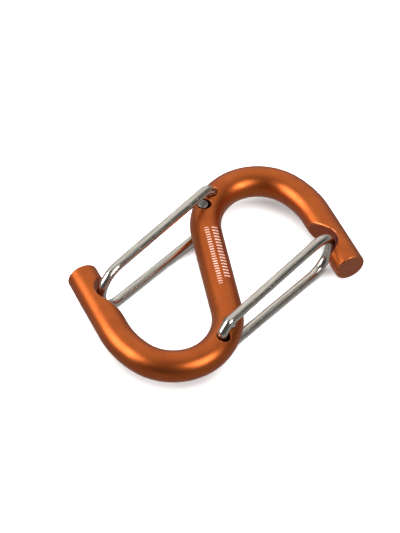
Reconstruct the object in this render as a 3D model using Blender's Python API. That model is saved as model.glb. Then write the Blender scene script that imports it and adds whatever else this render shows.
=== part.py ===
"""S-shaped double carabiner: one bent round bar with a sprung wire gate across each of its two hooks.

Frame: the S lies flat in the XY plane with its middle at the origin, and +Y runs up the S.
The thickness is along Z. The lower half is the upper half turned by 180 degrees about Z,
and so are its notch, its hinge holes and its gate.
"""

import math

import bmesh
import bpy
from mathutils import Matrix, Vector

MM = 0.001
UP = Vector((0.0, 0.0, 1.0))
HALF_TURN = Matrix.Rotation(math.pi, 4, "Z")

# Bar. One half of its centre line, from the middle of the S out to the tip of the top hook.
BAR_DIAMETER = 8.0 * MM
BAR_MIDDLE_HALF = 12.4 * MM  # straight length on each side of the middle of the S
BAR_BENDS = (  # radius of the centre line, and the angle that it turns through
    (15.8 * MM, math.radians(53)),
    (13.0 * MM, math.radians(86)),
    (23.0 * MM, math.radians(27)),
)
BAR_ARM = 19.1 * MM  # straight length behind each tip
BAR_END_CHAMFER = 0.5 * MM
BEND_STEP = math.radians(5)

# Notch under each arm: a round seat for the gate's nose, with a ramp towards the bend.
SEAT_RADIUS = 4.05 * MM
SEAT_FROM_TIP = 8.75 * MM  # along the arm, from the tip to the middle of the seat
SEAT_BELOW_ARM = 3.9 * MM  # from the arm's centre line down to the middle of the seat
RAMP_ANGLE = math.radians(33)
SEAT_STEP = math.radians(9)

# Hinge holes. Each gate has two, side by side along the bar, and both run along Z.
HOLE_DIAMETER = 3.4 * MM
HOLE_PITCH = 4.35 * MM
HOLES_ALONG_BAR = 21.3 * MM  # from the middle of the S to midway between the two holes
HOLES_OFF_CENTRE = 0.65 * MM  # from the centre line towards the outside of the bend

# Gates.
WIRE_DIAMETER = 2.6 * MM
GATE_HALF_WIDTH = 6.6 * MM  # from the plane of the S to the centre line of each leg
NOSE_FROM_SEAT = Vector((0.3, 2.4, 0.0)) * MM  # wire centre at the nose, from the middle of the seat
GATE_SWING = math.radians(19)
NOSE_TWIST = math.radians(2.2)  # the sprung wire is twisted, so its nose isn't quite square to the S
# Each elbow is two bends, with a slanted stretch between the stub and the leg.
ELBOW_RADIUS = 1.7 * MM
ELBOW_SLANT = math.radians(45)
ELBOW_START = 4.2 * MM  # from the plane of the S to where the stub and the slant would meet
ELBOW_STEPS = 3
BACK_ELBOW_LEAN = 0.8 * MM  # how far the sprung wire carries the back leg over towards its loop
NOSE_STEPS = 16
STUB_REACH = 3.7 * MM  # how far each stub goes past the plane of the S

# A curve has 4 sides and two more for each step of its bevel resolution.
BAR_RESOLUTION = 12
WIRE_RESOLUTION = 4
HOLE_SIDES = 32
CUTTER_HALF_DEPTH = 6.0 * MM
CUTTER_BELOW_SEAT = 1.0 * MM

ORANGE = (0.62, 0.17, 0.035, 1.0)
STEEL = (0.62, 0.60, 0.56, 1.0)


def clear_scene():
    for item in list(bpy.data.objects):
        bpy.data.objects.remove(item, do_unlink=True)


def new_collection(name):
    collection = bpy.data.collections.new(name)
    bpy.context.scene.collection.children.link(collection)
    return collection


def metal(name, colour, roughness):
    material = bpy.data.materials.new(name)
    material.use_nodes = True
    surface = material.node_tree.nodes["Principled BSDF"]
    surface.inputs["Base Color"].default_value = colour
    surface.inputs["Metallic"].default_value = 1.0
    surface.inputs["Roughness"].default_value = roughness
    return material


def heading(angle):
    return Vector((math.cos(angle), math.sin(angle), 0.0))


def half_centre_line():
    """(distance, point, direction angle) at each step from the middle of the S to the top hook's tip.

    The bar turns clockwise all the way and ends along +X.
    """
    angle = sum(turn for _, turn in BAR_BENDS)
    distance = BAR_MIDDLE_HALF
    point = BAR_MIDDLE_HALF * heading(angle)
    line = [(0.0, Vector(), angle), (distance, point, angle)]
    for radius, turn in BAR_BENDS:
        centre = point + radius * heading(angle - math.pi / 2)
        steps = math.ceil(turn / BEND_STEP)
        for _ in range(steps):
            angle -= turn / steps
            distance += radius * turn / steps
            point = centre + radius * heading(angle + math.pi / 2)
            line.append((distance, point, angle))
    line.append((distance + BAR_ARM, point + BAR_ARM * heading(angle), angle))
    return line


def on_centre_line(wanted):
    """(point, direction angle) at a distance along the half centre line."""
    line = half_centre_line()
    for (start, first, first_angle), (end, last, last_angle) in zip(line, line[1:]):
        if wanted <= end:
            share = (wanted - start) / (end - start)
            return first.lerp(last, share), first_angle + share * (last_angle - first_angle)
    return line[-1][1], line[-1][2]


def seat_centre():
    """Middle of the round seat in the top hook's notch."""
    tip = half_centre_line()[-1][1]
    return tip - Vector((SEAT_FROM_TIP, SEAT_BELOW_ARM, 0.0))


def hinge_holes():
    """(outer, inner) hole centres of the top gate, which is hinged on the lower half of the S."""
    middle, angle = on_centre_line(HOLES_ALONG_BAR)
    middle = middle + HOLES_OFF_CENTRE * heading(angle + math.pi / 2)
    half_pitch = HOLE_PITCH / 2 * heading(angle)
    return HALF_TURN @ (middle + half_pitch), HALF_TURN @ (middle - half_pitch)


def poly_curve(name, dimensions, points, cyclic=False):
    """A curve object with one straight-sided spline. Each point is (place, share of the full radius)."""
    curve = bpy.data.curves.new(name, "CURVE")
    curve.dimensions = dimensions
    spline = curve.splines.new("POLY")
    spline.points.add(len(points) - 1)
    for knot, (place, share) in zip(spline.points, points):
        knot.co = (*place, 1.0)
        knot.radius = share
    spline.use_cyclic_u = cyclic
    spline.use_smooth = True
    return bpy.data.objects.new(name, curve)


def tube(name, points, diameter, resolution):
    made = poly_curve(name, "3D", points)
    made.data.bevel_depth = diameter / 2
    made.data.bevel_resolution = resolution
    made.data.use_fill_caps = True
    return made


def as_mesh(item, collection):
    """A closed mesh object that takes the place of a curve object."""
    collection.objects.link(item)
    bpy.context.view_layer.update()
    evaluated = item.evaluated_get(bpy.context.evaluated_depsgraph_get())
    mesh = bpy.data.meshes.new_from_object(evaluated)
    name = item.name
    place = item.matrix_world.copy()
    bpy.data.objects.remove(item, do_unlink=True)
    made = bpy.data.objects.new(name, mesh)
    made.matrix_world = place
    collection.objects.link(made)
    work = bmesh.new()
    work.from_mesh(mesh)
    bmesh.ops.remove_doubles(work, verts=work.verts, dist=0.001 * MM)
    bmesh.ops.recalc_face_normals(work, faces=work.faces)
    work.to_mesh(mesh)
    work.free()
    return made


def add_cutter(name, mesh, place, collection):
    cutter = bpy.data.objects.new(name, mesh)
    cutter.matrix_world = place
    cutter.hide_render = True
    cutter.display_type = "WIRE"
    collection.objects.link(cutter)
    return cutter


def notch_mesh(collection):
    """The top hook's notch as a straight prism along Z."""
    centre = seat_centre()
    floor = centre.y - CUTTER_BELOW_SEAT
    over_top = math.pi / 2 + RAMP_ANGLE
    steps = math.ceil(over_top / SEAT_STEP)
    outline = [Vector((centre.x + SEAT_RADIUS, floor, 0.0))]
    for step in range(steps + 1):
        outline.append(centre + SEAT_RADIUS * heading(over_top * step / steps))
    ramp_top = outline[-1]
    run = (ramp_top.y - floor) / math.tan(RAMP_ANGLE)
    outline.append(Vector((ramp_top.x - run, floor, 0.0)))
    flat = poly_curve("notch_shape", "2D", [(point, 1.0) for point in outline], cyclic=True)
    flat.data.fill_mode = "BOTH"
    flat.data.extrude = CUTTER_HALF_DEPTH
    shape = as_mesh(flat, collection)
    mesh = shape.data
    bpy.data.objects.remove(shape, do_unlink=True)
    return mesh


def hole_mesh():
    mesh = bpy.data.meshes.new("hinge_hole")
    work = bmesh.new()
    bmesh.ops.create_cone(
        work,
        cap_ends=True,
        segments=HOLE_SIDES,
        radius1=HOLE_DIAMETER / 2,
        radius2=HOLE_DIAMETER / 2,
        depth=2 * CUTTER_HALF_DEPTH,
    )
    work.to_mesh(mesh)
    work.free()
    return mesh


def make_cutters(collection):
    """Both notches and all four hinge holes."""
    notch = notch_mesh(collection)
    hole = hole_mesh()
    cutters = []
    for half, turn in (("top", Matrix.Identity(4)), ("bottom", HALF_TURN)):
        cutters.append(add_cutter(f"{half}_notch", notch, turn, collection))
        for which, centre in zip(("outer", "inner"), hinge_holes()):
            place = turn @ Matrix.Translation(centre)
            cutters.append(add_cutter(f"{half}_gate_{which}_hole", hole, place, collection))
    return cutters


def make_bar(collection, cutters, material):
    half = [point for _, point, _ in half_centre_line()]
    tip = half.pop()
    half.append(tip - Vector((BAR_END_CHAMFER, 0.0, 0.0)))
    end_share = 1.0 - BAR_END_CHAMFER / (BAR_DIAMETER / 2)
    top = [(point, 1.0) for point in half] + [(tip, end_share)]
    bottom = [(HALF_TURN @ point, share) for point, share in reversed(top[1:])]
    bar = as_mesh(tube("s_bar", bottom + top, BAR_DIAMETER, BAR_RESOLUTION), collection)
    bar.data.materials.append(material)
    for cutter in cutters:
        cut = bar.modifiers.new(cutter.name, "BOOLEAN")
        cut.operation = "DIFFERENCE"
        cut.solver = "EXACT"
        cut.object = cutter
    bar.data.shade_smooth()
    bar.data.set_sharp_from_angle(angle=math.radians(40))
    return bar


def rounded_corner(before, corner, after):
    """Wire centre line round a corner between two straight stretches."""
    back = (before - corner).normalized()
    on = (after - corner).normalized()
    turn = math.pi - back.angle(on)
    centre = corner + ELBOW_RADIUS / math.cos(turn / 2) * (back + on).normalized()
    reach = ELBOW_RADIUS * math.tan(turn / 2)
    first = corner + reach * back - centre
    last = corner + reach * on - centre
    points = []
    for step in range(ELBOW_STEPS + 1):
        angle = turn * step / ELBOW_STEPS
        out = math.sin(turn - angle) * first + math.sin(angle) * last
        points.append(centre + out / math.sin(turn))
    return points


def stub_and_elbow(stub, leg_end, side, lean):
    """Wire centre line from a stub's far end, up through its hole and round into its leg.

    side is 1 for the leg in front of the bar and -1 for the leg behind it. The slanted stretch
    carries the leg sideways by lean.
    """
    run = leg_end - stub - lean
    towards = Vector((run.x, run.y, 0.0)).normalized()
    far_end = stub - side * STUB_REACH * UP
    foot = stub + side * ELBOW_START * UP
    slant = (GATE_HALF_WIDTH - ELBOW_START) * math.tan(ELBOW_SLANT)
    top = stub + side * GATE_HALF_WIDTH * UP + slant * towards + lean
    return [far_end] + rounded_corner(far_end, foot, top) + rounded_corner(foot, top, leg_end)


def gate_centre_line():
    """(hinge axis, wire centre line from that axis) of the closed top gate."""
    outer, inner = hinge_holes()
    axis = (outer + inner) / 2
    # The stubs stand half the swing short of the line of the holes, so they stay clear of the
    # holes' walls all the way to fully open.
    at_rest = Matrix.Rotation(-GATE_SWING / 2, 4, "Z")
    outer_stub = at_rest @ (outer - axis)
    inner_stub = at_rest @ (inner - axis)
    nose = seat_centre() + NOSE_FROM_SEAT - axis
    along = nose.normalized()
    nose_centre = nose - GATE_HALF_WIDTH * along
    across = Matrix.Rotation(NOSE_TWIST, 4, along) @ UP
    to_loop = UP.cross(along)
    bow = []
    for step in range(NOSE_STEPS + 1):
        angle = math.pi * step / NOSE_STEPS
        around = math.cos(angle) * across + math.sin(angle) * along
        bow.append(nose_centre + GATE_HALF_WIDTH * around)
    front = stub_and_elbow(outer_stub, bow[0], 1, Vector())
    back = stub_and_elbow(inner_stub, bow[-1], -1, BACK_ELBOW_LEAN * to_loop)
    return axis, front + bow + back[::-1]


def make_gates(collection, material):
    """Both gates. Each has its origin on its hinge axis and opens by turning about +Z."""
    axis, line = gate_centre_line()
    points = [(point, 1.0) for point in line]
    top = tube("top_gate_wire", points, WIRE_DIAMETER, WIRE_RESOLUTION)
    top.data.materials.append(material)
    top.location = axis
    collection.objects.link(top)
    bottom = bpy.data.objects.new("bottom_gate_wire", top.data)
    bottom.matrix_world = HALF_TURN @ Matrix.Translation(axis)
    collection.objects.link(bottom)


def main():
    clear_scene()
    carabiner = new_collection("s_carabiner")
    helpers = new_collection("cutters")
    cutters = make_cutters(helpers)
    make_bar(carabiner, cutters, metal("orange_anodised_aluminium", ORANGE, 0.3))
    make_gates(carabiner, metal("stainless_wire", STEEL, 0.2))


main()
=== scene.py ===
"""Looks for an S-shaped double carabiner: a satin anodised bar with a sprung wire gate across each hook.

Metres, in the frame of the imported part: the S lies flat in the XY plane with its middle at the
origin, +Y runs up the S, and the lower half is the upper half turned by 180 degrees about Z.
"""

import math

import bpy
import numpy as np
from mathutils import Matrix, Vector


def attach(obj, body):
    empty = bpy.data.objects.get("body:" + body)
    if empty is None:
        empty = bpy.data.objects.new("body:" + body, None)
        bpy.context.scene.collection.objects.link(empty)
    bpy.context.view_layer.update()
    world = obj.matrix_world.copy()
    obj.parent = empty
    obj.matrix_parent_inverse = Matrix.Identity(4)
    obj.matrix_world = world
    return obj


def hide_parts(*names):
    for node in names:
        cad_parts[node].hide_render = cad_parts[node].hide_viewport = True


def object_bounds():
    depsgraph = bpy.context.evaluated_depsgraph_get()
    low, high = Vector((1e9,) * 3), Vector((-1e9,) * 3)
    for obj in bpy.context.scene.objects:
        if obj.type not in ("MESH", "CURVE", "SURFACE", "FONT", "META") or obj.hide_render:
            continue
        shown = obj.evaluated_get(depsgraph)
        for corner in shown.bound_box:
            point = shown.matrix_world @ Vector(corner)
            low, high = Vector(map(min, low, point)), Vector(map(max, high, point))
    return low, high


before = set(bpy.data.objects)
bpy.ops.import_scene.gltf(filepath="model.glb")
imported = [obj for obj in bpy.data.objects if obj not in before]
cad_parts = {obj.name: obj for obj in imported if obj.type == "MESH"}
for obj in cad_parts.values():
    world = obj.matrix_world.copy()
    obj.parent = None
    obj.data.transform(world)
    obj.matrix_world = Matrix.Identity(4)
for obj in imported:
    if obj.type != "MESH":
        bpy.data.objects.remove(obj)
cad_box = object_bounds()

MM = 0.001
UP = Vector((0.0, 0.0, 1.0))
HALF_TURN = Matrix.Rotation(math.pi, 4, "Z")

# Bar, from the middle of the S out to the tip of the top hook.
BAR_RADIUS = 4.0 * MM
BAR_MIDDLE_HALF = 12.4 * MM
BAR_BENDS = (  # radius of the centre line, and the angle that it turns through
    (15.8 * MM, math.radians(53)),
    (13.0 * MM, math.radians(86)),
    (23.0 * MM, math.radians(27)),
)
BAR_ARM = 19.1 * MM
BAR_END_ROUNDING = 0.5 * MM

# Notch under each arm: a round seat with a ramp towards the bend.
SEAT_RADIUS = 4.05 * MM
SEAT_FROM_TIP = 8.75 * MM
SEAT_BELOW_ARM = 3.9 * MM
RAMP_ANGLE = math.radians(33)
NOTCH_BELOW_SEAT = 1.0 * MM
NOTCH_ROUNDING = 0.38 * MM

# Hinge holes, two for each gate, side by side along the bar.
HOLE_RADIUS = 1.7 * MM
HOLE_PITCH = 4.35 * MM
HOLES_ALONG_BAR = 21.3 * MM
HOLES_OFF_CENTRE = 0.65 * MM
HOLE_ROUNDING = 0.3 * MM

# Gates.
WIRE_RADIUS = 1.3 * MM
GATE_HALF_WIDTH = 6.6 * MM
NOSE_FROM_SEAT = Vector((0.3, 2.4, 0.0)) * MM
NOSE_TWIST = math.radians(2.2)
GATE_SWING = math.radians(19)
ELBOW_RADIUS = 1.7 * MM
ELBOW_SLANT = math.radians(45)
ELBOW_START = 4.2 * MM
BACK_ELBOW_LEAN = 0.8 * MM
STUB_REACH = 3.7 * MM
WIRE_END_ROUNDING = 0.35 * MM

# Plain printed marking on the middle of the bar: two rows of even ticks. Each row is its first and
# last place along the bar, its edges as angles round it, and the pitch of its ticks.
MARK_ROWS = (
    (-4.9 * MM, 12.1 * MM, math.radians(104), math.radians(128), 1.0 * MM),
    (-7.0 * MM, 11.5 * MM, math.radians(76), math.radians(92), 0.8 * MM),
)
MARK_TICK_SHARE = 0.42  # of each pitch that is printed
MARK_BLUR = 0.06 * MM

# Fineness of the meshes.
BAR_VOXEL = 0.21 * MM
PROJECTIONS = 2
RELAXATIONS = 5
GRADIENT_STEP = 0.01 * MM
ELBOW_STEPS = 10
NOSE_STEPS = 56
LEG_STEP = 0.8 * MM
END_STEPS = 5
WIRE_SIDES = 40
SEAM_SIDE = (0.3, 0.5, 0.8)  # any direction that no stub runs along
SHARP_ANGLE = math.radians(50)

# Where the bar's finish changes: how deep a cut lies under the rod's surface, how near an end face is
# to its plane and how far inside the rod, how near the arm the paler edge of an end lies, and over
# what part of a rounding the paler edge fades in. The paler edges are partly wear and partly painted
# highlight.
MILLED_DEPTHS = (0.05 * MM, 0.3 * MM)
END_FACE_DEPTHS = (-0.12 * MM, -0.02 * MM)
END_FACE_INSETS = (0.3 * MM, 0.6 * MM)
ARM_REACH = 0.1 * MM
EDGE_FADE = (-0.3, 0.7)

# Camera: where it stands, its own right and up, its lens and sensor in millimetres, and its near clip.
CAMERA_PLACE = Vector((0.436345, -0.227156, 0.607169))
CAMERA_RIGHT = Vector((0.42880, 0.90311, 0.02286))
CAMERA_UP = Vector((-0.70745, 0.31995, 0.63019))
CAMERA_LENS = 209.68
CAMERA_SENSOR = 36.0
CAMERA_CLIP = 0.01

# Lights: two soft boxes that show in reflections, and one overhead light for the floor, which doesn't.
BOX_DISTANCE = 0.6
LEFT_BOX_SIDE = (-0.222, -0.816, 0.530)
LEFT_BOX_SIZE = (0.36, 0.42)
LEFT_BOX_POWER = 3.1
RIGHT_BOX_SIDE = (0.705, 0.325, 0.627)
RIGHT_BOX_SIZE = (0.30, 0.33)
RIGHT_BOX_POWER = 2.2
FLOOR_LIGHT_HEIGHT = 1.2
FLOOR_LIGHT_SIZE = (1.5, 1.5)
FLOOR_POWER = 46.0

FLOOR_SIZE = 3.0

# Room: how light it is on its light side, elsewhere, and below the edge of the table. Each spread is
# the cosines between which one blends into the other.
ROOM_LIGHT_SIDE = (-0.70, 0.25, 0.67)
ROOM_LIGHT_SPREAD = (0.35, 0.95)
ROOM_DARK = 0.08
ROOM_LIGHT = 0.95
TABLE_LIGHT = 0.36
TABLE_EDGE_SPREAD = (-0.12, 0.02)


# Shape of the bar, as a signed distance.


def flat_heading(angle):
    return np.array((math.cos(angle), math.sin(angle)))


def half_centre_line():
    """Stretches of the bar's centre line from the middle of the S to the top tip.

    Each is (start distance, length, start point, start angle, bend radius), with radius 0 for a
    straight one. The bar turns clockwise all the way and ends along +X.
    """
    angle = sum(turn for _, turn in BAR_BENDS)
    point = np.zeros(2)
    distance = 0.0
    stretches = [(distance, BAR_MIDDLE_HALF, point, angle, 0.0)]
    point = BAR_MIDDLE_HALF * flat_heading(angle)
    distance += BAR_MIDDLE_HALF
    for radius, turn in BAR_BENDS:
        stretches.append((distance, radius * turn, point, angle, radius))
        centre = point + radius * flat_heading(angle - math.pi / 2)
        angle -= turn
        point = centre + radius * flat_heading(angle + math.pi / 2)
        distance += radius * turn
    stretches.append((distance, BAR_ARM, point, angle, 0.0))
    return stretches


CENTRE_LINE = half_centre_line()


def on_centre_line(wanted):
    """(point, direction angle) at a distance along the half centre line."""
    for start, length, point, angle, radius in CENTRE_LINE:
        run = wanted - start
        if run <= length:
            break
    if not radius:
        return point + run * flat_heading(angle), angle
    centre = point + radius * flat_heading(angle - math.pi / 2)
    angle -= run / radius
    return centre + radius * flat_heading(angle + math.pi / 2), angle


TIP = on_centre_line(CENTRE_LINE[-1][0] + BAR_ARM)[0]
SEAT = TIP - np.array((SEAT_FROM_TIP, SEAT_BELOW_ARM))


def hinge_holes():
    """(outer, inner) hole centres of the top gate, which is hinged on the lower half of the S."""
    middle, angle = on_centre_line(HOLES_ALONG_BAR)
    middle = middle + HOLES_OFF_CENTRE * flat_heading(angle + math.pi / 2)
    half_pitch = HOLE_PITCH / 2 * flat_heading(angle)
    return -(middle + half_pitch), -(middle - half_pitch)


def stretch_distance(flat, stretch, extra=0.0):
    """How far points in the XY plane lie from one stretch, which runs on by extra."""
    _, length, point, angle, radius = stretch
    if not radius:
        along = flat_heading(angle)
        run = np.clip((flat - point) @ along, 0.0, length + extra)
        return np.linalg.norm(flat - point - run[:, None] * along, axis=1)
    centre = point + radius * flat_heading(angle - math.pi / 2)
    half = length / radius / 2
    middle = angle + math.pi / 2 - half
    out = flat - centre
    off = np.arctan2(out[:, 1], out[:, 0]) - middle
    off = (off + math.pi) % (2 * math.pi) - math.pi
    off = np.clip(off, -half, half)
    nearest = radius * np.stack((np.cos(middle + off), np.sin(middle + off)), axis=1)
    return np.linalg.norm(out - nearest, axis=1)


def rounded_both(first, second, rounding):
    """Signed distance of what two shapes share, with the edge between them rounded."""
    a = first + rounding
    b = second + rounding
    corner = np.hypot(np.maximum(a, 0.0), np.maximum(b, 0.0))
    return np.minimum(np.maximum(a, b), 0.0) + corner - rounding


def notch_distance(flat):
    """Signed distance to the top notch's outline, negative in the notch."""
    out = flat - SEAT
    ramp_out = np.array((-math.sin(RAMP_ANGLE), math.cos(RAMP_ANGLE)))
    ramp_down = np.array((-math.cos(RAMP_ANGLE), -math.sin(RAMP_ANGLE)))
    to_ramp = out @ ramp_out - SEAT_RADIUS
    to_wall = out[:, 0] - SEAT_RADIUS
    to_seat = np.linalg.norm(out, axis=1) - SEAT_RADIUS
    past_ramp = out @ ramp_down > 0
    below = out[:, 1] < 0
    below_seat = np.where(past_ramp, np.maximum(to_ramp, to_wall), to_wall)
    open_below = np.where(below, below_seat, np.where(past_ramp, to_ramp, to_seat))
    return np.maximum(open_below, -NOTCH_BELOW_SEAT - out[:, 1])


def half_bar(points):
    """Signed distances of the upper half of the S, uncut: its bent rod, its arm and its end plane."""
    flat = points[:, :2]
    bends = np.min([stretch_distance(flat, s) for s in CENTRE_LINE[:-1]], axis=0)
    arm = stretch_distance(flat, CENTRE_LINE[-1], extra=2 * BAR_RADIUS)
    end = flat[:, 0] - TIP[0]
    bent_rod = np.hypot(bends, points[:, 2]) - BAR_RADIUS
    arm_rod = np.hypot(arm, points[:, 2]) - BAR_RADIUS
    return bent_rod, arm_rod, end


def holes_distance(flat):
    """Signed distance to the nearest hinge hole of the two on the lower half, negative in it."""
    from_centres = [np.linalg.norm(flat - hole, axis=1) for hole in hinge_holes()]
    return np.min(from_centres, axis=0) - HOLE_RADIUS


def turned(points):
    """The points turned by 180 degrees about Z."""
    return points * np.array((-1.0, -1.0, 1.0))


def bar_parts(points):
    """Signed distances of the uncut rod, notches, holes, nearer arm and that arm's end plane."""
    halves = []
    for side in (points, turned(points)):
        flat = side[:, :2]
        bent_rod, arm, end = half_bar(side)
        rod = np.minimum(bent_rod, rounded_both(arm, end, BAR_END_ROUNDING))
        halves.append((rod, notch_distance(flat), holes_distance(flat), arm, end))
    rod, notch, hole = (np.minimum(halves[0][part], halves[1][part]) for part in range(3))
    nearer = halves[0][3] < halves[1][3]
    arm, end = (np.where(nearer, halves[0][part], halves[1][part]) for part in (3, 4))
    return rod, notch, hole, arm, end


def bar_distance(points):
    rod, notch, hole, _, _ = bar_parts(points)
    notched = rounded_both(rod, -notch, NOTCH_ROUNDING)
    return rounded_both(notched, -hole, HOLE_ROUNDING)


def bar_slope(points):
    """Outward direction of the bar's surface at points near it."""
    slope = np.empty_like(points)
    for axis in range(3):
        step = np.zeros(3)
        step[axis] = GRADIENT_STEP
        slope[:, axis] = bar_distance(points + step) - bar_distance(points - step)
    size = np.linalg.norm(slope, axis=1, keepdims=True)
    return slope / np.maximum(size, 1e-12)


def onto_bar(points):
    for _ in range(PROJECTIONS):
        points = points - bar_distance(points)[:, None] * bar_slope(points)
    return points


def relaxed(points, edges):
    """Each point moved halfway to the middle of its neighbours."""
    total = np.zeros_like(points)
    count = np.zeros(len(points))
    for here, there in ((0, 1), (1, 0)):
        np.add.at(total, edges[:, here], points[edges[:, there]])
        np.add.at(count, edges[:, here], 1.0)
    return 0.5 * points + 0.5 * total / count[:, None]


# Mesh helpers.


def new_object(name, mesh):
    made = bpy.data.objects.new(name, mesh)
    bpy.context.scene.collection.objects.link(made)
    return made


def evenly_meshed(source, voxel):
    """A copy of an object's mesh, rebuilt from even faces of about one voxel."""
    work = new_object("work", source.data.copy())
    rebuild = work.modifiers.new("even", "REMESH")
    rebuild.mode = "VOXEL"
    rebuild.voxel_size = voxel
    bpy.context.view_layer.update()
    evaluated = work.evaluated_get(bpy.context.evaluated_depsgraph_get())
    mesh = bpy.data.meshes.new_from_object(evaluated)
    bpy.data.objects.remove(work, do_unlink=True)
    return mesh


def places_of(mesh):
    places = np.empty(len(mesh.vertices) * 3, np.float32)
    mesh.vertices.foreach_get("co", places)
    return places.reshape(-1, 3).astype(np.float64)


def edges_of(mesh):
    edges = np.empty(len(mesh.edges) * 2, np.int32)
    mesh.edges.foreach_get("vertices", edges)
    return edges.reshape(-1, 2)


def put_attribute(mesh, name, kind, values):
    made = mesh.attributes.new(name, kind, "POINT")
    field = "vector" if kind == "FLOAT_VECTOR" else "value"
    made.data.foreach_set(field, np.asarray(values, np.float32).ravel())


def share(values, low, high):
    """0 at low and under, 1 at high and over, smooth between."""
    t = np.clip((values - low) / (high - low), 0.0, 1.0)
    return t * t * (3.0 - 2.0 * t)


# Pieces.


def edge_nearness(first, second, rounding):
    """1 on the corner of two faces, 0 where its rounding begins, and less beyond."""
    return np.minimum(first + rounding, second + rounding) / rounding


def mark_bar(mesh, points):
    """Attributes that the bar's finish reads: where it is cut, its edges, and places for its marks."""
    rod, notch, hole, arm, end = bar_parts(points)
    milled = share(-rod, *MILLED_DEPTHS)
    ends = share(-np.abs(end), *END_FACE_DEPTHS) * share(-arm, *END_FACE_INSETS)
    notch_edge = edge_nearness(rod, -notch, NOTCH_ROUNDING)
    hole_edge = edge_nearness(rod, -hole, HOLE_ROUNDING)
    end_edge = np.where(arm < ARM_REACH, edge_nearness(arm, end, BAR_END_ROUNDING), -1.0)
    edge = share(np.max((notch_edge, hole_edge, end_edge), axis=0), *EDGE_FADE)
    put_attribute(mesh, "milled", "FLOAT", milled * (1.0 - ends))
    put_attribute(mesh, "end_face", "FLOAT", ends)
    put_attribute(mesh, "edge", "FLOAT", edge)
    put_attribute(mesh, "from_axis", "FLOAT", arm + BAR_RADIUS)
    middle_angle = sum(turn for _, turn in BAR_BENDS)
    along = flat_heading(middle_angle)
    across = flat_heading(middle_angle + math.pi / 2)
    put_attribute(mesh, "mark_along", "FLOAT", points[:, :2] @ along)
    around = BAR_RADIUS * np.arctan2(points[:, 2], points[:, :2] @ across)
    put_attribute(mesh, "mark_around", "FLOAT", around)


def make_bar(material):
    mesh = evenly_meshed(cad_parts["s_bar"], BAR_VOXEL)
    points = onto_bar(places_of(mesh))
    edges = edges_of(mesh)
    for _ in range(RELAXATIONS):
        points = onto_bar(relaxed(points, edges))
    points = onto_bar(points)
    mesh.vertices.foreach_set("co", points.astype(np.float32).ravel())
    mesh.update()
    mesh.shade_smooth()
    mark_bar(mesh, points)
    mesh.normals_split_custom_set_from_vertices(bar_slope(points).tolist())
    mesh.materials.clear()
    mesh.materials.append(material)
    bar = new_object("satin_bar", mesh)
    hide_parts("s_bar")
    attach(bar, "bar")


def rounded_corner(before, corner, after):
    """Wire centre line round a corner between two straight stretches."""
    back = (before - corner).normalized()
    on = (after - corner).normalized()
    turn = math.pi - back.angle(on)
    centre = corner + ELBOW_RADIUS / math.cos(turn / 2) * (back + on).normalized()
    reach = ELBOW_RADIUS * math.tan(turn / 2)
    first = corner + reach * back - centre
    last = corner + reach * on - centre
    points = []
    for step in range(ELBOW_STEPS + 1):
        angle = turn * step / ELBOW_STEPS
        out = math.sin(turn - angle) * first + math.sin(angle) * last
        points.append(centre + out / math.sin(turn))
    return points


def stub_and_elbow(stub, leg_end, side, lean):
    """Wire centre line from a stub's far end, up through its hole and round into its leg."""
    run = leg_end - stub - lean
    towards = Vector((run.x, run.y, 0.0)).normalized()
    far_end = stub - side * STUB_REACH * UP
    foot = stub + side * ELBOW_START * UP
    slant = (GATE_HALF_WIDTH - ELBOW_START) * math.tan(ELBOW_SLANT)
    top = stub + side * GATE_HALF_WIDTH * UP + slant * towards + lean
    return [far_end] + rounded_corner(far_end, foot, top) + rounded_corner(foot, top, leg_end)


def gate_centre_line():
    """Wire centre line of the closed top gate."""
    outer, inner = (Vector((*hole, 0.0)) for hole in hinge_holes())
    axis = (outer + inner) / 2
    at_rest = Matrix.Rotation(-GATE_SWING / 2, 4, "Z")
    outer_stub = at_rest @ (outer - axis)
    inner_stub = at_rest @ (inner - axis)
    nose = Vector((*SEAT, 0.0)) + NOSE_FROM_SEAT - axis
    along = nose.normalized()
    nose_centre = nose - GATE_HALF_WIDTH * along
    across = Matrix.Rotation(NOSE_TWIST, 4, along) @ UP
    to_loop = UP.cross(along)
    bow = []
    for step in range(NOSE_STEPS + 1):
        angle = math.pi * step / NOSE_STEPS
        around = math.cos(angle) * across + math.sin(angle) * along
        bow.append(nose_centre + GATE_HALF_WIDTH * around)
    front = stub_and_elbow(outer_stub, bow[0], 1, Vector())
    back = stub_and_elbow(inner_stub, bow[-1], -1, BACK_ELBOW_LEAN * to_loop)
    return [axis + point for point in front + bow + back[::-1]]


def filled_in(line, step):
    """The line with points added so that none lie more than a step apart."""
    full = [line[0]]
    for first, last in zip(line, line[1:]):
        parts = math.ceil((last - first).length / step)
        full += [first.lerp(last, part / parts) for part in range(1, parts + 1)]
    return np.array(full)


def with_round_ends(line, radius, rounding):
    """(points, radii): the line with rings added that round both of its ends."""
    angles = np.linspace(0.0, math.pi / 2, END_STEPS + 1)
    inset = rounding * (1.0 - np.sin(angles))
    narrower = rounding * (1.0 - np.cos(angles))
    first = (line[1] - line[0]) / np.linalg.norm(line[1] - line[0])
    last = (line[-2] - line[-1]) / np.linalg.norm(line[-2] - line[-1])
    start = line[0] + inset[::-1, None] * first
    finish = line[-1] + inset[:, None] * last
    places = np.concatenate((start, line[1:-1], finish))
    radii = np.full(len(places), radius)
    radii[: END_STEPS + 1] -= narrower[::-1]
    radii[-END_STEPS - 1 :] -= narrower
    return places, radii


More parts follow.
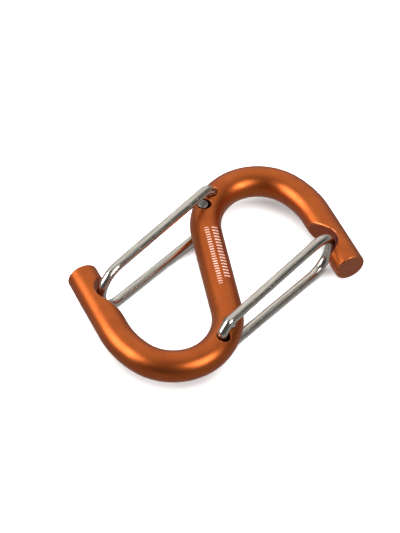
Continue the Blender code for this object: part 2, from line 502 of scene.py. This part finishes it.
def swept_mesh(name, line, radii, sides):
    """A closed round tube along a line, with places for its grain and its sheared ends as attributes."""
    tangents = np.gradient(line, axis=0)
    tangents /= np.linalg.norm(tangents, axis=1, keepdims=True)
    side = np.cross(tangents[0], SEAM_SIDE)
    side /= np.linalg.norm(side)
    steps = np.linalg.norm(np.diff(line, axis=0), axis=1)
    along = np.concatenate(((0.0,), np.cumsum(steps)))
    turns = np.linspace(0.0, 2 * math.pi, sides, endpoint=False)
    rings = []
    grain = []
    for point, tangent, radius, distance in zip(line, tangents, radii, along):
        side = side - (side @ tangent) * tangent
        side /= np.linalg.norm(side)
        other = np.cross(tangent, side)
        out = np.cos(turns)[:, None] * side + np.sin(turns)[:, None] * other
        rings.append(point + radius * out)
        reach = np.full(sides, distance / WIRE_RADIUS)
        grain.append(np.stack((np.cos(turns), np.sin(turns), reach), axis=1))
    count = len(rings)
    faces = []
    for ring in range(count - 1):
        for turn in range(sides):
            here = ring * sides + turn
            beside = ring * sides + (turn + 1) % sides
            faces.append((here, beside, beside + sides, here + sides))
    faces.append(tuple(range(sides))[::-1])
    faces.append(tuple((count - 1) * sides + turn for turn in range(sides)))
    mesh = bpy.data.meshes.new(name)
    mesh.from_pydata(np.concatenate(rings).tolist(), [], faces)
    put_attribute(mesh, "drawn", "FLOAT_VECTOR", np.concatenate(grain))
    from_end = np.minimum(along, along[-1] - along)
    sheared = 1.0 - share(from_end, 0.5 * WIRE_END_ROUNDING, WIRE_END_ROUNDING)
    put_attribute(mesh, "sheared", "FLOAT", np.repeat(sheared, sides))
    mesh.shade_smooth()
    mesh.set_sharp_from_angle(angle=SHARP_ANGLE)
    return mesh


def make_gates(material):
    line = filled_in(gate_centre_line(), LEG_STEP)
    places, radii = with_round_ends(line, WIRE_RADIUS, WIRE_END_ROUNDING)
    mesh = swept_mesh("gate_wire", places, radii, WIRE_SIDES)
    mesh.materials.append(material)
    for half, turn in (("top", Matrix.Identity(4)), ("bottom", HALF_TURN)):
        gate = new_object(f"{half}_drawn_wire_gate", mesh.copy())
        gate.data.transform(turn)
        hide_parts(f"{half}_gate_wire")
        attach(gate, f"{half}_gate")


# Finishes.


class Nodes:
    """Short calls for building one material's node tree."""

    def __init__(self, name):
        self.material = bpy.data.materials.new(name)
        self.material.use_nodes = True
        self.tree = self.material.node_tree
        self.surface = self.tree.nodes["Principled BSDF"]

    def link(self, value, socket):
        if isinstance(value, bpy.types.NodeSocket):
            self.tree.links.new(value, socket)
        else:
            socket.default_value = value

    def attribute(self, name, output="Fac"):
        node = self.tree.nodes.new("ShaderNodeAttribute")
        node.attribute_name = name
        return node.outputs[output]

    def place(self, scale, source=None):
        """Object coordinates, or another vector, stretched by a scale."""
        if source is None:
            source = self.tree.nodes.new("ShaderNodeTexCoord").outputs["Object"]
        node = self.tree.nodes.new("ShaderNodeVectorMath")
        node.operation = "MULTIPLY"
        self.link(source, node.inputs[0])
        node.inputs[1].default_value = scale
        return node.outputs[0]

    def noise(self, vector, detail=2.0, roughness=0.5):
        node = self.tree.nodes.new("ShaderNodeTexNoise")
        node.inputs["Scale"].default_value = 1.0
        node.inputs["Detail"].default_value = detail
        node.inputs["Roughness"].default_value = roughness
        self.link(vector, node.inputs["Vector"])
        return node.outputs["Fac"]

    def spots(self, vector):
        """Distance to the nearest of many scattered points."""
        node = self.tree.nodes.new("ShaderNodeTexVoronoi")
        node.inputs["Scale"].default_value = 1.0
        self.link(vector, node.inputs["Vector"])
        return node.outputs["Distance"]

    def maths(self, operation, *values):
        node = self.tree.nodes.new("ShaderNodeMath")
        node.operation = operation
        for value, socket in zip(values, node.inputs):
            self.link(value, socket)
        return node.outputs[0]

    def times(self, first, second):
        return self.maths("MULTIPLY", first, second)

    def total(self, *values):
        """The sum of two or more values."""
        result = values[0]
        for value in values[1:]:
            result = self.maths("ADD", result, value)
        return result

    def ramp(self, value, low, high, to_low=0.0, to_high=1.0):
        """Value taken from the range low to high over to the range to_low to to_high."""
        node = self.tree.nodes.new("ShaderNodeMapRange")
        node.clamp = True
        for socket, setting in zip(node.inputs[:5], (value, low, high, to_low, to_high)):
            self.link(setting, socket)
        return node.outputs[0]

    def mix(self, share_of_second, first, second):
        node = self.tree.nodes.new("ShaderNodeMix")
        node.data_type = "RGBA"
        sockets = [s for s in node.inputs if s.type == "RGBA"]
        self.link(share_of_second, node.inputs[0])
        self.link(first, sockets[0])
        self.link(second, sockets[1])
        return next(s for s in node.outputs if s.type == "RGBA")

    def bump(self, height, distance):
        node = self.tree.nodes.new("ShaderNodeBump")
        node.inputs["Strength"].default_value = 1.0
        node.inputs["Distance"].default_value = distance
        self.link(height, node.inputs["Height"])
        self.link(node.outputs["Normal"], self.surface.inputs["Normal"])

    def set(self, name, value):
        """Gives one input of the surface a value or a link."""
        self.link(value, self.surface.inputs[name])


ORANGE = (0.54, 0.122, 0.022, 1.0)
ORANGE_DEEP = (0.44, 0.092, 0.017, 1.0)
ORANGE_PALE = (0.72, 0.31, 0.15, 1.0)
ORANGE_MILLED = (0.40, 0.080, 0.028, 1.0)
INK = (0.78, 0.60, 0.52, 1.0)

# Texture scales of the bar, in features per metre, and the noise values between which each one fades.
CLOUD_SCALE = (220.0,) * 3
GRAIN_SCALE = (7000.0,) * 3
# Breakup of the paler edges (partly wear, partly painted highlight), also used for the ink's cover.
WEAR_AND_HIGHLIGHT_SCALE = (1400.0,) * 3
PIT_SCALE = (520.0,) * 3
TOOL_SCALE = (5200.0, 5200.0, 260.0)
RING_SCALE = (4200.0, 1.0, 1.0)
CLOUD_FADE = (0.3, 0.7)
GRAIN_FADE = (0.25, 0.75)
WEAR_AND_HIGHLIGHT_FADE = (0.42, 0.62)
RING_FADE = (0.35, 0.65)
PIT_RADII = (0.05, 0.09)

# How strongly each one shows in the bar's colour, roughness and relief.
RING_COLOUR = 0.45
# Paler edges: partly wear and thin anodising, partly a painted highlight on the rounded edges.
WORN_AND_HIGHLIT_COLOUR = 0.7
PIT_COLOUR = 0.5
INK_COVER = (0.5, 0.72)
INK_METALLIC = 0.2
BAR_ROUGHNESS = (0.34, 0.42)
CUT_ROUGHNESS = 0.10
CLOUD_ROUGHNESS = 0.02
INK_ROUGHNESS = 0.2
BAR_RELIEF = 0.02 * MM
GRAIN_RELIEF = 0.12
CUT_RELIEF = 0.8
PIT_RELIEF = 0.6
TICK_START = 0.1  # of each pitch, before its tick


def inside(n, value, low, high):
    """1 where a value lies between low and high, with soft edges."""
    start = n.ramp(value, low - MARK_BLUR, low + MARK_BLUR)
    stop = n.ramp(value, high - MARK_BLUR, high + MARK_BLUR, 1.0, 0.0)
    return n.times(start, stop)


def printed_ticks(n):
    """1 on the printed ticks and 0 elsewhere."""
    along = n.attribute("mark_along")
    around = n.attribute("mark_around")
    printed = 0.0
    for first, last, low, high, pitch in MARK_ROWS:
        band = n.times(
            inside(n, along, first, last),
            inside(n, around, BAR_RADIUS * low, BAR_RADIUS * high),
        )
        phase = n.maths("WRAP", along, pitch, 0.0)
        tick_end = TICK_START + MARK_TICK_SHARE
        row = n.times(band, inside(n, phase, TICK_START * pitch, tick_end * pitch))
        printed = n.maths("MAXIMUM", row, printed)
    return printed


def anodised_aluminium():
    """Satin orange anodising, cloudy and finely grained, with tool marks, a few pits, and paler edges
    that are partly wear and partly painted highlight.
    """
    n = Nodes("orange_anodised_aluminium")
    cloud = n.noise(n.place(CLOUD_SCALE), detail=3.0)
    grain = n.noise(n.place(GRAIN_SCALE), detail=2.0)
    pit = n.ramp(n.spots(n.place(PIT_SCALE)), *PIT_RADII, 1.0, 0.0)
    tool = n.noise(n.place(TOOL_SCALE), detail=2.0)
    rings = n.noise(n.place(RING_SCALE, n.attribute("from_axis")), detail=2.0)
    breakup = n.ramp(n.noise(n.place(WEAR_AND_HIGHLIGHT_SCALE), detail=4.0), *WEAR_AND_HIGHLIGHT_FADE)
    milled = n.attribute("milled")
    end_face = n.attribute("end_face")
    cut = n.maths("MAXIMUM", milled, end_face)
    # Paler rounded edges of notch, holes and tips: partly real wear, partly a painted highlight.
    worn_and_highlit = n.times(n.attribute("edge"), breakup)
    ink = n.times(printed_ticks(n), n.ramp(breakup, 0.0, 1.0, *INK_COVER))

    face = n.mix(n.ramp(rings, *RING_FADE, 0.0, RING_COLOUR), ORANGE_MILLED, ORANGE_PALE)
    colour = n.mix(n.ramp(cloud, *CLOUD_FADE), ORANGE_DEEP, ORANGE)
    colour = n.mix(milled, colour, ORANGE_MILLED)
    colour = n.mix(end_face, colour, face)
    colour = n.mix(n.times(worn_and_highlit, WORN_AND_HIGHLIT_COLOUR), colour, ORANGE_PALE)
    colour = n.mix(n.times(pit, PIT_COLOUR), colour, ORANGE_DEEP)
    n.set("Base Color", n.mix(ink, colour, INK))
    n.set("Metallic", n.ramp(ink, 0.0, 1.0, 1.0, INK_METALLIC))

    rough = n.total(
        n.ramp(grain, *GRAIN_FADE, *BAR_ROUGHNESS),
        n.times(ink, INK_ROUGHNESS),
        n.times(cut, CUT_ROUGHNESS),
        n.ramp(cloud, *CLOUD_FADE, CLOUD_ROUGHNESS, -CLOUD_ROUGHNESS),
    )
    n.set("Roughness", rough)
    height = n.total(
        n.times(grain, GRAIN_RELIEF),
        n.times(n.times(tool, milled), CUT_RELIEF),
        n.times(n.times(rings, end_face), CUT_RELIEF),
        n.times(pit, -PIT_RELIEF),
    )
    n.bump(height, BAR_RELIEF)
    n.set("Coat Weight", 0.12)
    n.set("Coat Roughness", 0.35)
    n.set("Coat IOR", 1.6)
    return n.material


STEEL = (0.75, 0.71, 0.63, 1.0)
STEEL_DULL = (0.46, 0.42, 0.37, 1.0)
STEEL_SHEARED = (0.30, 0.29, 0.28, 1.0)

# Texture scales of the wire, in features per wire radius, first round the wire and then along it.
# The rubs are in features per metre.
LINE_SCALE = (3.6, 3.6, 0.16)
FINE_SCALE = (26.0, 26.0, 0.8)
POLISH_SCALE = (1.5, 1.5, 0.8)
RUB_SCALE = (900.0,) * 3
LINE_FADE = (0.35, 0.65)
POLISH_FADE = (0.3, 0.7)
RUB_FADE = (0.58, 0.72)

# How strongly each one shows in the wire's colour, roughness and relief.
RUB_COLOUR = 0.3
WIRE_ROUGHNESS = (0.17, 0.24)
RUB_ROUGHNESS = 0.08
SHEARED_ROUGHNESS = 0.30
WIRE_RELIEF = 0.010 * MM
LINE_RELIEF = 0.6
FINE_RELIEF = 0.25


def drawn_steel():
    """Drawn stainless wire: lines along its length, uneven polish, small rubs and dull sheared ends."""
    n = Nodes("stainless_wire")
    drawn = n.attribute("drawn", "Vector")
    sheared = n.attribute("sheared")
    lines = n.noise(n.place(LINE_SCALE, drawn), detail=4.0, roughness=0.7)
    fine = n.noise(n.place(FINE_SCALE, drawn), detail=2.0)
    polish = n.noise(n.place(POLISH_SCALE, drawn), detail=3.0)
    rub = n.ramp(n.noise(n.place(RUB_SCALE), detail=4.0), *RUB_FADE)
    colour = n.mix(n.ramp(lines, *LINE_FADE), STEEL_DULL, STEEL)
    colour = n.mix(n.times(rub, RUB_COLOUR), colour, STEEL_DULL)
    n.set("Base Color", n.mix(sheared, colour, STEEL_SHEARED))
    n.set("Metallic", 1.0)
    rough = n.total(
        n.ramp(polish, *POLISH_FADE, *WIRE_ROUGHNESS),
        n.times(rub, RUB_ROUGHNESS),
        n.times(sheared, SHEARED_ROUGHNESS),
    )
    n.set("Roughness", rough)
    n.bump(n.total(n.times(lines, LINE_RELIEF), n.times(fine, FINE_RELIEF)), WIRE_RELIEF)
    return n.material


FLOOR_TONES = ((0.90, 0.90, 0.90, 1.0), (0.92, 0.92, 0.92, 1.0))
FLOOR_SCALE = (6.0,) * 3


def pale_floor():
    n = Nodes("pale_floor")
    n.set("Base Color", n.mix(n.noise(n.place(FLOOR_SCALE), detail=2.0), *FLOOR_TONES))
    n.set("Roughness", 0.9)
    n.set("Specular IOR Level", 0.1)
    return n.material


# Stage.


def make_floor():
    mesh = bpy.data.meshes.new("floor")
    half = FLOOR_SIZE / 2
    height = cad_box[0].z
    signs = ((-1, -1), (1, -1), (1, 1), (-1, 1))
    mesh.from_pydata([(x * half, y * half, height) for x, y in signs], [], [(0, 1, 2, 3)])
    mesh.materials.append(pale_floor())
    floor = new_object("floor", mesh)
    floor.visible_glossy = False


def make_camera():
    data = bpy.data.cameras.new("camera")
    data.lens = CAMERA_LENS
    data.sensor_width = CAMERA_SENSOR
    data.clip_start = CAMERA_CLIP
    camera = new_object("camera", data)
    back = CAMERA_RIGHT.cross(CAMERA_UP)
    turn = Matrix((CAMERA_RIGHT, CAMERA_UP, back)).transposed()
    camera.matrix_world = Matrix.LocRotScale(CAMERA_PLACE, turn.to_quaternion(), None)
    bpy.context.scene.camera = camera


def soft_box(name, side, distance, size, power, in_reflections=True):
    """An area light that faces the middle of the part from one side."""
    data = bpy.data.lights.new(name, "AREA")
    data.shape = "RECTANGLE"
    data.size, data.size_y = size
    data.energy = power
    place = Vector(side).normalized() * distance
    lamp = new_object(name, data)
    lamp.matrix_world = Matrix.LocRotScale(place, place.to_track_quat("Z", "Y"), None)
    lamp.visible_glossy = in_reflections


def make_room():
    """A dim room that is light on one upper side, above a pale table."""
    world = bpy.data.worlds.new("room")
    world.use_nodes = True
    tree = world.node_tree
    tree.nodes["Background"].inputs["Color"].default_value = (1.0, 1.0, 1.0, 1.0)
    place = tree.nodes.new("ShaderNodeTexCoord").outputs["Generated"]

    def facing(direction, spread, to_low, to_high):
        """A value that blends from to_low to to_high as the view turns to face a direction."""
        dot = tree.nodes.new("ShaderNodeVectorMath")
        dot.operation = "DOT_PRODUCT"
        tree.links.new(place, dot.inputs[0])
        dot.inputs[1].default_value = Vector(direction).normalized()
        blend = tree.nodes.new("ShaderNodeMapRange")
        blend.interpolation_type = "SMOOTHSTEP"
        tree.links.new(dot.outputs["Value"], blend.inputs[0])
        for socket, setting in zip(blend.inputs[1:5], (*spread, to_low, to_high)):
            socket.default_value = setting
        return blend.outputs[0]

    room = facing(ROOM_LIGHT_SIDE, ROOM_LIGHT_SPREAD, ROOM_DARK, ROOM_LIGHT)
    above = facing(UP, TABLE_EDGE_SPREAD, 0.0, 1.0)
    mixed = tree.nodes.new("ShaderNodeMix")
    tree.links.new(above, mixed.inputs["Factor"])
    mixed.inputs["A"].default_value = TABLE_LIGHT
    tree.links.new(room, mixed.inputs["B"])
    tree.links.new(mixed.outputs["Result"], tree.nodes["Background"].inputs["Strength"])
    bpy.context.scene.world = world


def make_lights():
    make_room()
    soft_box("left_box", LEFT_BOX_SIDE, BOX_DISTANCE, LEFT_BOX_SIZE, LEFT_BOX_POWER)
    soft_box("right_box", RIGHT_BOX_SIDE, BOX_DISTANCE, RIGHT_BOX_SIZE, RIGHT_BOX_POWER)
    soft_box("floor_light", UP, FLOOR_LIGHT_HEIGHT, FLOOR_LIGHT_SIZE, FLOOR_POWER, in_reflections=False)
    bpy.context.scene.view_settings.view_transform = "Standard"


make_camera()
make_floor()
make_lights()
make_bar(anodised_aluminium())
make_gates(drawn_steel())
